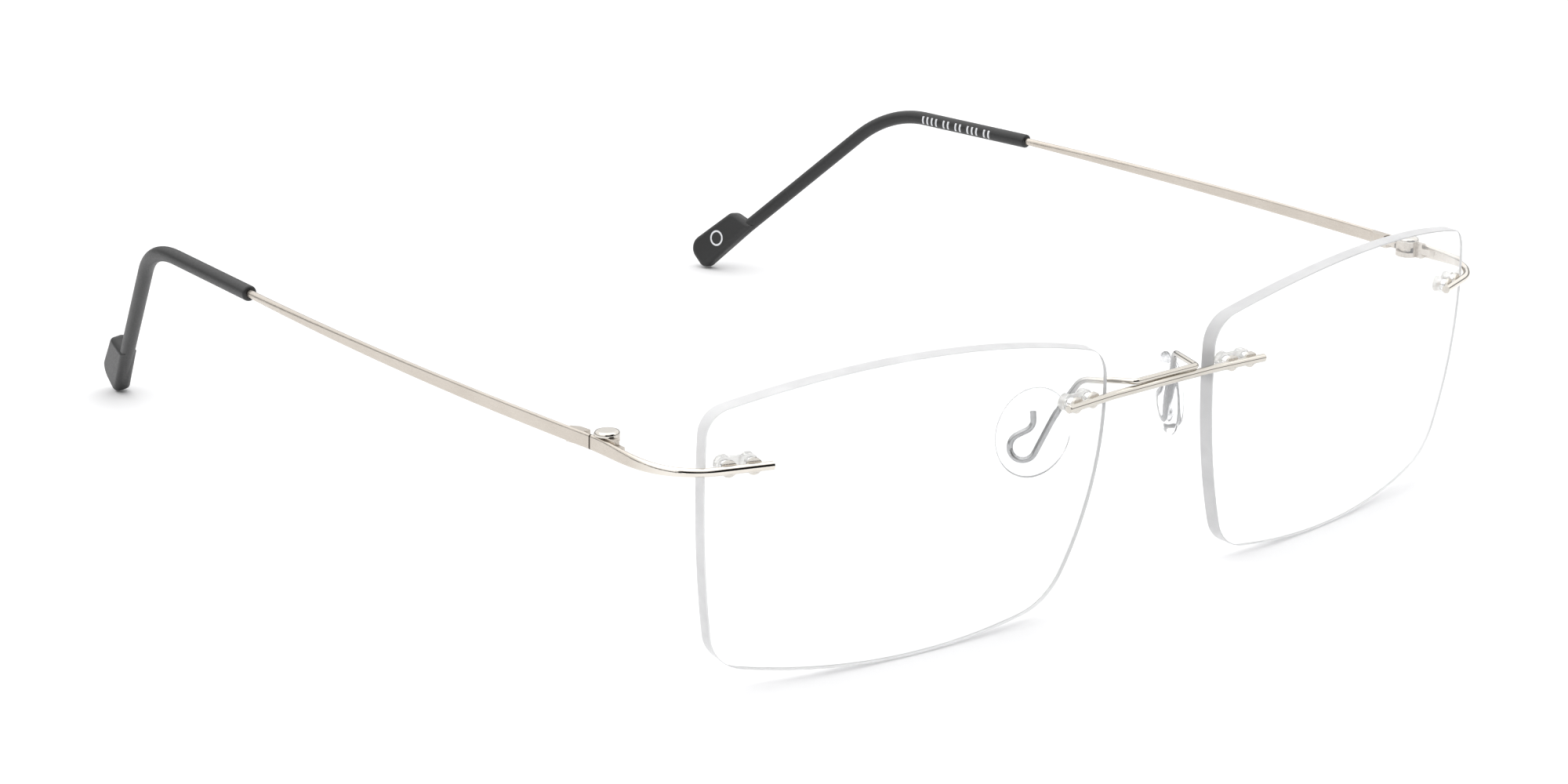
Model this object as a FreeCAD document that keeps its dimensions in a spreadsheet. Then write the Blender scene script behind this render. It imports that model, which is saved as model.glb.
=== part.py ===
"""Rimless eyeglasses, open and ready to wear, in millimetres.

Frame: +Z up, +X to the wearer's left, +Y towards the back. The glasses stand on z = 0 on their lens
bottoms and temple tips, and the origin is on that plane under the middle of the whole object.
The wearer's left half (+X) is built first. The right half is its mirror image, apart from the
hinges, whose axes lean opposite ways so that one folded temple passes over the other.
"""
import FreeCAD, Part
import Sketcher
import math
import os

from FreeCAD import Placement, Rotation, Vector

os.makedirs("parts", exist_ok=True)
doc = FreeCAD.newDocument("rimless_eyeglasses")

SIZES = {
    # lenses
    "lens_x": 35.37,                # centre of each lens from the middle plane
    "lens_y": -71.26,               # centre of the lens front, which sets the origin's place in depth
    "lens_z": 17.36,
    "lens_wrap": 7.0,               # degrees, each lens turned back at its outer side
    "lens_tilt": 5.0,               # degrees, the top leaning forward
    "lens_radius": 112.0,           # front surface; the back is concentric
    "lens_thickness": 1.72,
    "corner_round_top_in": 4.2,
    "corner_round_top_out": 3.4,
    "corner_round_low_out": 5.4,
    "corner_round_low_in": 6.8,
    # holes, pins and sleeves of the four lens mounts
    "mount_in_u": -22.55,
    "mount_in_v": 8.15,
    "mount_out_u": 22.6,
    "mount_out_v": 8.58,
    "pin_pitch": 2.8,
    "pin_diameter": 0.8,
    "pin_back_length": 0.6,         # how far a pin reaches behind the lens
    "pin_embed": 0.12,              # brazed depth of a pin in its wire
    "collar_diameter": 1.85,
    "collar_height": 0.32,
    "bore_clearance": 0.01,         # radial
    "lens_gap": 0.02,               # between the lens and the collars in front of it
    "sleeve_gap": 0.05,             # between the lens and the web behind it
    "sleeve_leg_diameter": 1.4,
    "sleeve_barrel_diameter": 1.9,
    "sleeve_barrel_length": 0.4,
    "sleeve_web_width": 1.6,
    "sleeve_web_thickness": 0.4,
    # bridge and nose pads
    "bar_diameter": 0.95,
    "bar_stand_off": 0.56,          # bar axis in front of the lens
    "bar_overhang": 3.3,            # beyond the middle of the mount
    "arm_diameter": 0.70,
    "arm_turn_x": 4.95,             # where the arms leave the bar
    "braze_gap": 0.01,              # between the bar and the arms' wire on top of it
    "pad_length": 10.8,
    "pad_width": 8.1,
    "pad_thickness": 2.8,
    "pad_edge_round": 1.1,
    "pad_turn": 33.0,               # degrees, each pad turned to face backwards
    # end pieces and temples
    "end_wire_diameter": 0.96,
    "end_wire_stand_off": 0.63,
    "end_wire_overhang": 3.4,
    "end_bend_radius": 8.0,
    "strip_thickness": 0.50,
    "strip_height": 1.68,
    "strip_middle_thickness": 0.55,
    "strip_middle_height": 1.50,
    "temple_wire_diameter": 0.96,
    "temple_bow": 1.1,              # how far the strip bows outward halfway
    "seam_gap": 0.05,
    "tip_diameter": 1.92,
    "tip_bend_radius": 17.0,
    "tip_bore_clearance": 0.02,     # radial
    "paddle_thickness": 2.3,
    # hinges
    "hinge_x": 64.62,
    "hinge_y": 18.0,                # behind the lens centre
    "hinge_z": 26.72,
    "hinge_lean": 1.7,              # degrees
    "hinge_height": 1.9,            # over both knuckles of the front leaf
    "leaf_height": 1.6,             # block of the temple leaf
    "leaf_plate_height": 0.75,
    "knuckle_radius": 1.35,
    "tongue_radius": 0.95,
    "tongue_thickness": 0.55,
    "tongue_play": 0.05,
    "notch_play": 0.09,             # round the tongue where it passes into the end piece
    "strip_inset": 0.77,            # hinge axis to the strip's inner face
    "seam_offset": 1.45,            # hinge axis to the seam
    "screw_diameter": 1.0,
    "screw_clearance": 0.03,        # radial
    "screw_head_diameter": 2.8,
    "screw_head_height": 0.52,
    "screw_head_round": 0.38,
    "screw_slot_width": 0.22,
    "screw_slot_depth": 0.2,
}

sheet = doc.addObject("Spreadsheet::Sheet", "sizes")
for row, (alias, value) in enumerate(SIZES.items(), start=1):
    sheet.set("A%d" % row, alias)
    sheet.set("B%d" % row, str(value))
    sheet.setAlias("B%d" % row, alias)
doc.recompute()


def size(alias):
    """The value of a cell of the sheet."""
    return float(sheet.get(alias))


def at(x, y, z):
    """A point of the left half, with y counted from the lens centre."""
    return Vector(x, size("lens_y") + y, z)


def mirrored(point):
    """The same point on the right half."""
    return Vector(-point.x, point.y, point.z)


# ---------------------------------------------------------------- features
def primitive(kind, name, placement=None, **expressions):
    """A Part primitive whose sizes are bound to expressions or set to plain numbers."""
    feature = doc.addObject("Part::" + kind, name)
    for prop, value in expressions.items():
        if isinstance(value, str):
            feature.setExpression(prop, value)
        else:
            setattr(feature, prop, value)
    if placement is not None:
        feature.Placement = placement
    doc.recompute()
    return feature


def fused(name, *pieces):
    """One solid made of several that overlap."""
    feature = doc.addObject("Part::MultiFuse", name)
    feature.Shapes = list(pieces)
    doc.recompute()
    return feature


def cut(name, base, tool):
    """The base without the tool."""
    feature = doc.addObject("Part::Cut", name)
    feature.Base = base
    feature.Tool = tool
    doc.recompute()
    return feature


def compound(name, *pieces):
    """Separate solids kept as one sub-part."""
    feature = doc.addObject("Part::Compound", name)
    feature.Links = list(pieces)
    doc.recompute()
    return feature


def mirror_image(source, name):
    """The right-hand twin of a left-hand piece."""
    feature = doc.addObject("Part::Mirroring", name)
    feature.Source = source
    feature.Normal = Vector(1, 0, 0)
    doc.recompute()
    return feature


def route(points, bends):
    """Straight runs between the points, joined by tangent arcs of the given radii."""
    edges = []
    start = points[0]
    for before, corner, after, radius in zip(points, points[1:], points[2:], bends):
        back = (before - corner).normalize()
        ahead = (after - corner).normalize()
        half = back.getAngle(ahead) / 2
        reach = radius / math.tan(half)
        first = corner + back * reach
        last = corner + ahead * reach
        bisector = (back + ahead).normalize()
        middle = corner + bisector * (radius / math.sin(half) - radius)
        edges.append(Part.LineSegment(start, first).toShape())
        edges.append(Part.Arc(first, middle, last).toShape())
        start = last
    edges.append(Part.LineSegment(start, points[-1]).toShape())
    return Part.Wire(edges)


def rod(name, path, diameter):
    """A round rod along a path; diameter is an expression of the sheet."""
    spine = doc.addObject("Part::Feature", name + "_path")
    spine.Shape = path
    begin = path.Edges[0]
    across = Rotation(Vector(0, 0, 1), begin.tangentAt(begin.FirstParameter))
    start = path.OrderedVertexes[0].Point
    section = primitive("Circle", name + "_section", Placement(start, across), Radius="(%s) / 2" % diameter)
    sweep = doc.addObject("Part::Sweep", name)
    sweep.Sections = [section]
    sweep.Spine = (spine, ["Edge%d" % (i + 1) for i in range(len(path.Edges))])
    sweep.Solid = True
    sweep.Frenet = False
    doc.recompute()
    expected = math.pi * section.Radius.Value ** 2 * path.Length
    print("%-22s volume / (section x length) = %.4f" % (name, sweep.Shape.Volume / expected))
    return sweep


def rounded_ends(name, base, points, radius):
    """The rod with the rims of its end faces at the given points rounded off."""
    feature = doc.addObject("Part::Fillet", name)
    feature.Base = base
    rims = []
    for number, edge in enumerate(base.Shape.Edges, start=1):
        centre = edge.Curve.Center if isinstance(edge.Curve, Part.Circle) else edge.CenterOfMass
        if edge.isClosed() and min((centre - p).Length for p in points) < 0.05:
            rims.append((number, radius, radius))
    feature.Edges = rims
    doc.recompute()
    return feature


# ------------------------------------------------------- sketches and bodies
def new_body(name, placement=None):
    """An empty PartDesign body at a placement."""
    body = doc.addObject("PartDesign::Body", name)
    body.Label = name
    if placement is not None:
        body.Placement = placement
    return body


def new_sketch(body, name, plane="XY_Plane", offset=0.0):
    """A sketch on one of the body's origin planes, moved along that plane's normal."""
    sketch = body.newObject("Sketcher::SketchObject", name)
    origin = [f for f in body.Origin.OriginFeatures if f.Role == plane][0]
    sketch.AttachmentSupport = [(origin, "")]
    sketch.MapMode = "FlatFace"
    sketch.AttachmentOffset = Placement(Vector(0, 0, offset), Rotation())
    return sketch


def constrain(sketch, kind, arguments, expression):
    """A dimensional constraint bound to an expression."""
    index = sketch.addConstraint(Sketcher.Constraint(kind, *arguments))
    sketch.setExpression("Constraints[%d]" % index, expression)


def draw_circle(sketch, centre, diameter, centre_x="0"):
    """A circle on the sketch's x axis; diameter and centre_x are expressions."""
    curve = Part.Circle(Vector(centre, 0, 0), Vector(0, 0, 1), 0.5)
    number = sketch.addGeometry(curve)
    sketch.addConstraint(Sketcher.Constraint("PointOnObject", number, 3, -1))
    constrain(sketch, "Diameter", (number, 1.0), diameter)
    if centre_x == "0":
        sketch.addConstraint(Sketcher.Constraint("PointOnObject", number, 3, -2))
    else:
        constrain(sketch, "DistanceX", (-1, 1, number, 3, centre), centre_x)


def draw_polygon(sketch, corners):
    """A closed polygon of straight lines, each corner held at its place."""
    count = len(corners)
    first = sketch.GeometryCount
    for i, (x, y) in enumerate(corners):
        after = corners[(i + 1) % count]
        sketch.addGeometry(Part.LineSegment(Vector(x, y, 0), Vector(after[0], after[1], 0)))
    for i, (x, y) in enumerate(corners):
        line = first + i
        following = first + (i + 1) % count
        sketch.addConstraint(Sketcher.Constraint("Coincident", line, 2, following, 1))
        sketch.addConstraint(Sketcher.Constraint("DistanceX", -1, 1, line, 1, x))
        sketch.addConstraint(Sketcher.Constraint("DistanceY", -1, 1, line, 1, y))


def draw_stadium(sketch, width, height):
    """A slot-shaped outline round the sketch's origin, taller (y) than wide (x)."""
    radius = 0.3
    rise = 0.4
    left = sketch.addGeometry(Part.LineSegment(Vector(-radius, rise, 0), Vector(-radius, -rise, 0)))
    down = Part.Circle(Vector(0, -rise, 0), Vector(0, 0, 1), radius)
    bottom = sketch.addGeometry(Part.ArcOfCircle(down, math.pi, 2 * math.pi))
    right = sketch.addGeometry(Part.LineSegment(Vector(radius, -rise, 0), Vector(radius, rise, 0)))
    up = Part.Circle(Vector(0, rise, 0), Vector(0, 0, 1), radius)
    top = sketch.addGeometry(Part.ArcOfCircle(up, 0, math.pi))
    for joint in ((left, 2, bottom, 1), (bottom, 2, right, 1), (right, 2, top, 1), (top, 2, left, 1)):
        sketch.addConstraint(Sketcher.Constraint("Tangent", *joint))
    sketch.addConstraint(Sketcher.Constraint("PointOnObject", top, 3, -2))
    sketch.addConstraint(Sketcher.Constraint("Symmetric", top, 3, bottom, 3, -1, 1))
    constrain(sketch, "Radius", (top, radius), "(%s) / 2" % width)
    constrain(sketch, "DistanceY", (bottom, 3, top, 3, 2 * rise), "(%s) - (%s)" % (height, width))


def pad(body, sketch, length, reversed_=False, midplane=False):
    """A sketch extruded by a length, which is an expression."""
    feature = body.newObject("PartDesign::Pad", sketch.Name + "_pad")
    feature.Profile = sketch
    feature.setExpression("Length", length)
    feature.Reversed = reversed_
    if midplane:
        feature.SideType = "Symmetric"
    doc.recompute()
    return feature


def pocket(body, sketch, length, midplane=False):
    """A pocket cut behind its sketch, or to both sides of it."""
    before = body.Shape.Volume
    feature = body.newObject("PartDesign::Pocket", sketch.Name + "_pocket")
    feature.Profile = sketch
    feature.setExpression("Length", length)
    if midplane:
        feature.SideType = "Symmetric"
    doc.recompute()
    if body.Shape.isNull() or body.Shape.Volume > before - 1e-4:
        raise RuntimeError(feature.Name + " cuts nothing")
    return feature


def edge_near(shape, point):
    """The name of the edge whose middle is nearest to a point."""
    gaps = [(edge.CenterOfMass - point).Length for edge in shape.Edges]
    return "Edge%d" % (gaps.index(min(gaps)) + 1)


def round_edges(body, names, radius):
    """A fillet over named edges of the body's last feature."""
    tip = body.Tip
    feature = body.newObject("PartDesign::Fillet", body.Name + "_round")
    feature.Base = (tip, names)
    feature.setExpression("Radius", radius)
    doc.recompute()
    return feature


# -------------------------------------------------------------------- lenses
WRAP = math.radians(size("lens_wrap"))
TILT = math.radians(size("lens_tilt"))
LENS_OUT = Vector(math.cos(WRAP), math.sin(WRAP), 0)
LEVEL_FRONT = Vector(math.sin(WRAP), -math.cos(WRAP), 0)
LENS_UP = Vector(0, 0, math.cos(TILT)) + LEVEL_FRONT * math.sin(TILT)
LENS_FRONT = LENS_OUT.cross(LENS_UP)
LENS_PLACE = Placement(at(size("lens_x"), 0, size("lens_z")), Rotation(LENS_OUT, LENS_UP, LENS_FRONT, "ZXY"))

# The sharp corners of a lens, seen from the front with x towards the temple, and how far each side
# between them bulges.
LENS_CORNERS = ((-26.28, 13.1), (26.21, 14.31), (23.98, -14.55), (-20.39, -15.95))
SIDE_BULGES = (3.86, 1.17, 2.24, 2.23)
CORNER_ROUNDS = ("corner_round_top_in", "corner_round_top_out", "corner_round_low_out", "corner_round_low_in")


def lens_outline_body():
    """A prism with the outline of the lens, along the lens axis."""
    body = new_body("lens_outline")
    sketch = new_sketch(body, "outline", offset=-12.0)
    count = len(LENS_CORNERS)
    for i, bulge in enumerate(SIDE_BULGES):
        a = Vector(*LENS_CORNERS[i], 0)
        b = Vector(*LENS_CORNERS[(i + 1) % count], 0)
        along = (b - a).normalize()
        outward = Vector(-along.y, along.x, 0)
        sketch.addGeometry(Part.Arc(a, (a + b) * 0.5 + outward * bulge, b))
    geometry = sketch.Geometry
    for i, (x, y) in enumerate(LENS_CORNERS):
        starts_here = (sketch.getPoint(i, 1) - Vector(x, y, 0)).Length < 0.01
        here = 1 if starts_here else 2
        previous = (i - 1) % count
        meets = (sketch.getPoint(previous, 2) - Vector(x, y, 0)).Length < 0.01
        sketch.addConstraint(Sketcher.Constraint("Coincident", i, here, previous, 2 if meets else 1))
        sketch.addConstraint(Sketcher.Constraint("DistanceX", -1, 1, i, here, x))
        sketch.addConstraint(Sketcher.Constraint("DistanceY", -1, 1, i, here, y))
        sketch.addConstraint(Sketcher.Constraint("Radius", i, geometry[i].Radius))
    pad(body, sketch, "16 mm")
    for (x, y), alias in zip(LENS_CORNERS, CORNER_ROUNDS):
        corner = edge_near(body.Shape, Vector(x, y, -4.0))
        round_edges(body, [corner], "sizes." + alias)
    return body


def mount_place(u, v):
    """Frame of a lens mount: origin on the front surface, x level and outward, z off the lens."""
    radius = size("lens_radius")
    rise = math.sqrt(radius ** 2 - u ** 2 - v ** 2)
    foot = LENS_PLACE.multVec(Vector(u, v, rise - radius))
    front = LENS_PLACE.Rotation.multVec(Vector(u, v, rise) * (1 / radius))
    across = Vector(0, 0, 1).cross(front).normalize()
    return Placement(foot, Rotation(across, front.cross(across), front, "ZXY"))


MOUNT_IN = mount_place(size("mount_in_u"), size("mount_in_v"))
MOUNT_OUT = mount_place(size("mount_out_u"), size("mount_out_v"))


def pin_spots(mount):
    """The two pin places of a mount, in the row frame."""
    half = size("pin_pitch") / 2
    return [mount.multiply(Placement(Vector(side * half, 0, 0), Rotation())) for side in (-1, 1)]


def make_lens(name):
    """A meniscus cut to the outline, with four through holes for the sleeves."""
    # The balls lie on their side, so that neither a pole nor the seam falls on the lens.
    ball_place = Placement(Vector(0, 0, -size("lens_radius")), Rotation(Vector(1, 0, 0), 90))
    front_ball = primitive("Sphere", "lens_front_ball", ball_place, Radius="sizes.lens_radius")
    back_ball = primitive("Sphere", "lens_back_ball", ball_place,
                          Radius="sizes.lens_radius - sizes.lens_thickness")
    shell = cut("lens_shell", front_ball, back_ball)
    outline = lens_outline_body()
    blank = doc.addObject("Part::MultiCommon", "lens_blank")
    blank.Shapes = [shell, outline]
    doc.recompute()
    holes = []
    to_lens = LENS_PLACE.inverse()
    for spot in pin_spots(MOUNT_IN) + pin_spots(MOUNT_OUT):
        below = spot.multiply(Placement(Vector(0, 0, -5), Rotation()))
        holes.append(primitive("Cylinder", "lens_hole", to_lens.multiply(below), Height=10.0,
                               Radius="sizes.sleeve_leg_diameter / 2 + sizes.bore_clearance"))
    lens = cut(name, blank, fused("lens_holes", *holes))
    lens.Placement = LENS_PLACE
    doc.recompute()
    return lens


# --------------------------------------------------------------- lens mounts
def make_pins(name, mount, stand_off, wire_diameter):
    """Two pins brazed to the back of a wire, each with a collar that rests on the lens."""
    pins = []
    back = "(sizes.lens_thickness + sizes.pin_back_length)"
    top = "(sizes.%s - sizes.%s / 2 + sizes.pin_embed)" % (stand_off, wire_diameter)
    depth = size("lens_thickness") + size("pin_back_length")
    for number, spot in enumerate(pin_spots(mount), start=1):
        place = spot.multiply(Placement(Vector(0, 0, -depth), Rotation()))
        shank = primitive("Cylinder", "%s_shank_%d" % (name, number), place,
                          Radius="sizes.pin_diameter / 2", Height=back + " + " + top)
        lift = spot.multiply(Placement(Vector(0, 0, size("lens_gap")), Rotation()))
        collar = primitive("Cylinder", "%s_collar_%d" % (name, number), lift,
                           Radius="sizes.collar_diameter / 2", Height="sizes.collar_height")
        pins.append(fused("%s_pin_%d" % (name, number), shank, collar))
    return compound(name, *pins)


def make_sleeve(name, mount):
    """A moulded double sleeve: two legs through the lens and two barrels joined by a web behind it."""
    body = new_body(name, mount)
    half = "sizes.pin_pitch / 2"
    half_pitch = size("pin_pitch") / 2
    behind = -size("lens_thickness") - size("sleeve_gap")
    web = new_sketch(body, "web", offset=behind)
    radius = size("sleeve_web_width") / 2
    top = web.addGeometry(Part.LineSegment(Vector(-half_pitch, radius, 0), Vector(half_pitch, radius, 0)))
    right = web.addGeometry(Part.ArcOfCircle(Part.Circle(Vector(half_pitch, 0, 0), Vector(0, 0, 1), radius),
                                             -math.pi / 2, math.pi / 2))
    low = web.addGeometry(Part.LineSegment(Vector(half_pitch, -radius, 0), Vector(-half_pitch, -radius, 0)))
    left = web.addGeometry(Part.ArcOfCircle(Part.Circle(Vector(-half_pitch, 0, 0), Vector(0, 0, 1), radius),
                                            math.pi / 2, 3 * math.pi / 2))
    for joint in ((top, 2, right, 2), (right, 1, low, 1), (low, 2, left, 2), (left, 1, top, 1)):
        web.addConstraint(Sketcher.Constraint("Tangent", *joint))
    web.addConstraint(Sketcher.Constraint("Symmetric", left, 3, right, 3, -1, 1))
    web.addConstraint(Sketcher.Constraint("PointOnObject", right, 3, -1))
    constrain(web, "Radius", (right, radius), "sizes.sleeve_web_width / 2")
    constrain(web, "DistanceX", (left, 3, right, 3, 2 * half_pitch), "sizes.pin_pitch")
    pad(body, web, "sizes.sleeve_web_thickness", reversed_=True)
    for label, depth, diameter, length, backwards in (
            ("barrels", behind, "sizes.sleeve_barrel_diameter",
             "sizes.sleeve_web_thickness + sizes.sleeve_barrel_length", True),
            ("legs", behind - 0.1, "sizes.sleeve_leg_diameter", "sizes.lens_thickness + 0.08", False)):
        rings = new_sketch(body, label, offset=depth)
        draw_circle(rings, half_pitch, diameter, half)
        draw_circle(rings, -half_pitch, diameter, "-" + half)
        pad(body, rings, length, reversed_=backwards)
    bores = new_sketch(body, "bores", offset=1.0)
    draw_circle(bores, half_pitch, "sizes.pin_diameter + 2 * sizes.bore_clearance", half)
    draw_circle(bores, -half_pitch, "sizes.pin_diameter + 2 * sizes.bore_clearance", "-" + half)
    pocket(body, bores, "8 mm")
    return body


# -------------------------------------------------------------------- bridge
def make_bridge_bar(name):
    """The front bar: it lies along both lenses at its ends and bows slightly between them."""
    stand_off = size("bar_stand_off")
    end = MOUNT_IN.multVec(Vector(size("bar_overhang"), 0, stand_off))
    bend = MOUNT_IN.multVec(Vector(-4.4, 0, stand_off))
    crown = Vector(0, bend.y - 0.35, bend.z + 0.18)
    path = route([end, bend, crown, mirrored(bend), mirrored(end)], (18.0, 40.0, 18.0))
    summit = path.Edges[3].valueAt(sum(path.Edges[3].ParameterRange) / 2)
    blank = rod("bridge_bar_blank", path, "sizes.bar_diameter")
    return rounded_ends(name, blank, [end, mirrored(end)], 0.12), summit


def make_pad_arms(name, summit):
    """One wire: brazed along the top of the bar, bent back at both ends, hooked inside the pads."""
    spacing = (size("bar_diameter") + size("arm_diameter")) / 2 + size("braze_gap")
    brace = summit + Vector(0, 0.15, 0.99).normalize() * spacing
    turn = Vector(size("arm_turn_x"), brace.y, brace.z)
    shoulder = at(8.1, 5.0, 26.22)
    hook = [PAD_PLACE.multVec(Vector(along, across, 0.0)) for along, across in PAD_HOOK]
    half = [turn, shoulder] + hook
    points = [mirrored(p) for p in reversed(half)] + half
    bends = [0.6, 1.6] + PAD_HOOK_BENDS
    blank = rod("pad_arms_blank", route(points, list(reversed(bends)) + bends), "sizes.arm_diameter")
    return rounded_ends(name, blank, [points[0], points[-1]], 0.1)


# A nose pad's frame: x down along the pad, y across it, z out of the face that looks away from the nose.
PAD_CENTRE = at(11.5, 8.8, 19.7)
PAD_DOWN = Vector(3.1, 2.45, -10.7).normalize()
PAD_TURN = math.radians(size("pad_turn"))
PAD_FACE = Vector(math.cos(PAD_TURN), -math.sin(PAD_TURN), 0)
PAD_PLACE = Placement(PAD_CENTRE, Rotation(PAD_DOWN, PAD_FACE.cross(PAD_DOWN), PAD_FACE, "XZY"))
# The arm's hook inside the pad, in that frame.
PAD_HOOK = ((-3.2, -1.5), (3.0, -0.99), (3.86, 1.17), (1.66, 2.06), (-0.68, 0.12), (-2.33, 0.89))
PAD_HOOK_BENDS = [2.5, 1.5, 1.3, 1.6, 1.4]


def make_nose_pad(name):
    """A soft oval pad."""
    body = new_body(name, PAD_PLACE)
    sketch = new_sketch(body, "oval")
    major = size("pad_length") / 2
    minor = size("pad_width") / 2
    oval = sketch.addGeometry(Part.Ellipse(Vector(major, 0, 0), Vector(0, minor, 0), Vector(0, 0, 0)))
    sketch.exposeInternalGeometry(oval)
    sketch.addConstraint(Sketcher.Constraint("Coincident", oval, 3, -1, 1))
    sketch.addConstraint(Sketcher.Constraint("PointOnObject", oval + 1, 1, -1))
    constrain(sketch, "Distance", (oval + 1, 2 * major), "sizes.pad_length")
    constrain(sketch, "Distance", (oval + 2, 2 * minor), "sizes.pad_width")
    pad(body, sketch, "sizes.pad_thickness", midplane=True)
    rims = ["Edge%d" % (i + 1) for i, edge in enumerate(body.Shape.Edges) if edge.isClosed()]
    round_edges(body, rims, "sizes.pad_edge_round")
    return body


# ------------------------------------------------------ end pieces and temples
STRIP_X = size("hinge_x") + size("strip_inset") + size("strip_thickness") / 2
STRIP_Z = size("hinge_z")
SEAM_Y = size("hinge_y") + size("seam_offset")
EDGE_ON = Rotation(Vector(1, 0, 0), Vector(0, 0, 1), Vector(0, -1, 0), "XZY")


def section_sketch(name, place, width, height):
    """A free-standing stadium section, x across the strip and y up."""
    sketch = doc.addObject("Sketcher::SketchObject", name)
    sketch.Placement = place
    draw_stadium(sketch, width, height)
    doc.recompute()
    return sketch


def loft(name, *sections):
    """A smooth solid through the sections."""
    feature = doc.addObject("Part::Loft", name)
    feature.Sections = list(sections)
    feature.Solid = True
    feature.Ruled = False
    doc.recompute()
    return feature


def strip_section(name, centre, ahead, width, height):
    """A section of the flattened part: x across it, y up, square to the way it runs."""
    across = Vector(ahead.y, -ahead.x, 0).normalize()
    turn = Rotation(across, across.cross(ahead), ahead * -1, "ZXY")
    return section_sketch(name, Placement(centre, turn), width, height)


def make_end_piece(name):
    """A round wire along the lens that turns back at its outer edge and flattens into a strip."""
    stand_off = size("end_wire_stand_off")
    end = MOUNT_OUT.multVec(Vector(-size("end_wire_overhang"), 0, stand_off))
    along = MOUNT_OUT.Rotation.multVec(Vector(1, 0, 0))
    corner = end + along * ((STRIP_X - end.x) / along.x)
    seam = at(STRIP_X, SEAM_Y - size("seam_gap") / 2, STRIP_Z)
    ahead = (seam - corner).normalize()
    reach = size("end_bend_radius") / math.tan(along.getAngle(ahead * -1) / 2)
    first = corner - along * reach
    last = corner + ahead * reach
    normal = along.cross(ahead).normalize()
    centre = first + normal.cross(along) * size("end_bend_radius")
    turn = math.degrees(along.getAngle(ahead))

    def on_bend(share):
        """The point and the heading at a share of the bend."""
        swing = Rotation(normal, turn * share)
        return centre + swing.multVec(first - centre), swing.multVec(along)

    flat_from = 0.35
    start_point, start_ahead = on_bend(flat_from)
    wire_end, _ = on_bend(flat_from + 0.04)
    path = Part.Wire([Part.LineSegment(end, first).toShape(),
                      Part.Arc(first, on_bend(flat_from / 2)[0], wire_end).toShape()])
    wire = rod("end_wire", path, "sizes.end_wire_diameter")
    sections = [strip_section("end_strip_0", start_point, start_ahead,
                              "sizes.end_wire_diameter", "sizes.end_wire_diameter + 0.02")]
    for number, (share, width, height) in enumerate(((0.7, 0.86, 1.18), (1.0, 0.68, 1.42)), start=1):
        point, heading = on_bend(share)
        sections.append(strip_section("end_strip_%d" % number, point, heading,
                                      "%.2f mm" % width, "%.2f mm" % height))
    sections.append(section_sketch("end_strip_seam", Placement(seam, EDGE_ON),
                                   "sizes.strip_thickness", "sizes.strip_height"))
    whole = fused("end_piece_whole", wire, loft("end_strip", *sections))
    floor = -size("tongue_thickness") / 2 - size("notch_play")
    notch = primitive("Cylinder", "tongue_notch", hinge_place(1, floor),
                      Radius="sizes.tongue_radius + sizes.notch_play",
                      Height="sizes.tongue_thickness + 2 * sizes.notch_play")
    return cut(name, whole, notch)


def wire_section(name, centre, diameter):
    """A nearly round stadium where a strip starts out of a wire."""
    return section_sketch(name, Placement(centre, EDGE_ON), diameter, diameter + " + 0.02")


def hinge_place(lean_sign, height=0.0):
    """Frame of the left hinge: z up its axis, x outward, y back."""
    lean = Rotation(Vector(1, 0, 0), lean_sign * size("hinge_lean"))
    base = Placement(at(size("hinge_x"), size("hinge_y"), size("hinge_z")), lean)
    return base.multiply(Placement(Vector(0, 0, height), Rotation()))


# The wire of a temple inside its tip: it runs on level, then bends down behind the ear.
TIP_START = at(64.8, 86.8, 27.95)
TIP_BEND = at(62.5, 113.2, 28.05)
TIP_END = at(51.5, 141.9, 1.22)


def make_temple(name):
    """A flat strip that tapers to a round wire, bowed slightly outward, with a bent wire core."""
    seam = at(STRIP_X, SEAM_Y + size("seam_gap") / 2, STRIP_Z)
    middle_at = (seam + TIP_START) * 0.5 + Vector(size("temple_bow"), 0, 0)
    start = section_sketch("temple_start", Placement(seam, EDGE_ON),
                           "sizes.strip_thickness", "sizes.strip_height")
    middle = section_sketch("temple_middle", Placement(middle_at, EDGE_ON),
                            "sizes.strip_middle_thickness", "sizes.strip_middle_height")
    last = wire_section("temple_last", TIP_START, "sizes.temple_wire_diameter")
    strip = loft("temple_strip", start, middle, last)
    core_end = TIP_END + (TIP_BEND - TIP_END).normalize() * 12.0
    core_start = TIP_START - (TIP_BEND - TIP_START).normalize()
    core = rod("temple_core", route([core_start, TIP_BEND, core_end], [size("tip_bend_radius")]),
               "sizes.temple_wire_diameter")
    return fused(name, strip, core)


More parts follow.
